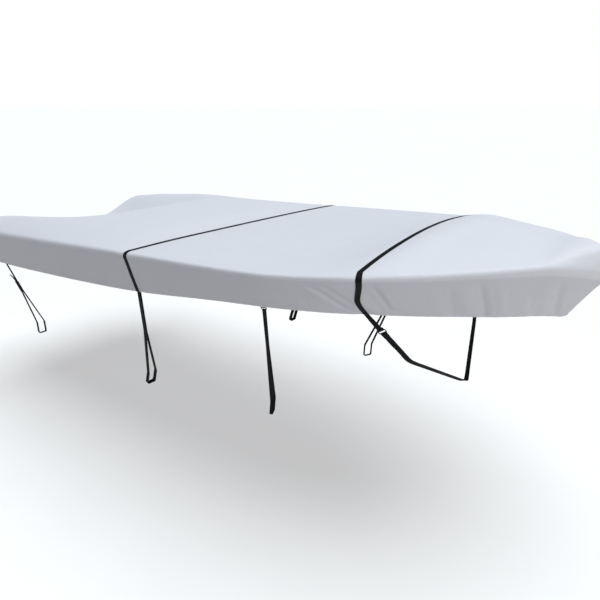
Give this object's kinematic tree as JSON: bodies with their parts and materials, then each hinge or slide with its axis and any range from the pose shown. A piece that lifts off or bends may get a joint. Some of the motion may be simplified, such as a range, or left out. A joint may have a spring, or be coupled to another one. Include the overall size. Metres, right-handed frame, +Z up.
{
  "type": "fitted boat cover",
  "caption": "Fitted cloth cover for a small open boat, with a crowned top, side and stern skirts, an elastic hem, tie-down webbing over the top and legs to a trailer",
  "frame": {"origin": "under the top on the centre line amidships, on the inner face of the cloth, where the boat holds the cover up", "axes": "+X towards the bow, +Y to port, +Z up; the cover is drawn in the place it takes over a level boat"},
  "size_m": [3.8977, 1.7338, 1.0509],
  "materials": {
    "coated_polyester": "light grey coated polyester, plain weave, matt",
    "polypropylene_webbing": "black woven webbing, matt",
    "black_acetal": "black moulded plastic, satin"
  },
  "bodies": {
    "root": {"top_panel": "coated_polyester", "skirt_starboard": "coated_polyester", "skirt_port": "coated_polyester", "skirt_stern": "coated_polyester", "over_strap_aft": "polypropylene_webbing", "over_strap_fore": "polypropylene_webbing", "strap_stern_starboard": "polypropylene_webbing", "strap_stern_port": "polypropylene_webbing", "leg_stern_starboard": "polypropylene_webbing", "leg_stern_port": "polypropylene_webbing", "leg_aft_starboard": "polypropylene_webbing", "leg_aft_port": "polypropylene_webbing", "leg_mid_starboard": "polypropylene_webbing", "leg_mid_port": "polypropylene_webbing", "ring_stern_starboard": "black_acetal", "ring_stern_port": "black_acetal", "ring_aft_starboard": "black_acetal", "ring_aft_port": "black_acetal", "tab_mid_starboard": "black_acetal", "tab_mid_port": "black_acetal", "slide_fore": "black_acetal"}
  },
  "joints": []
}
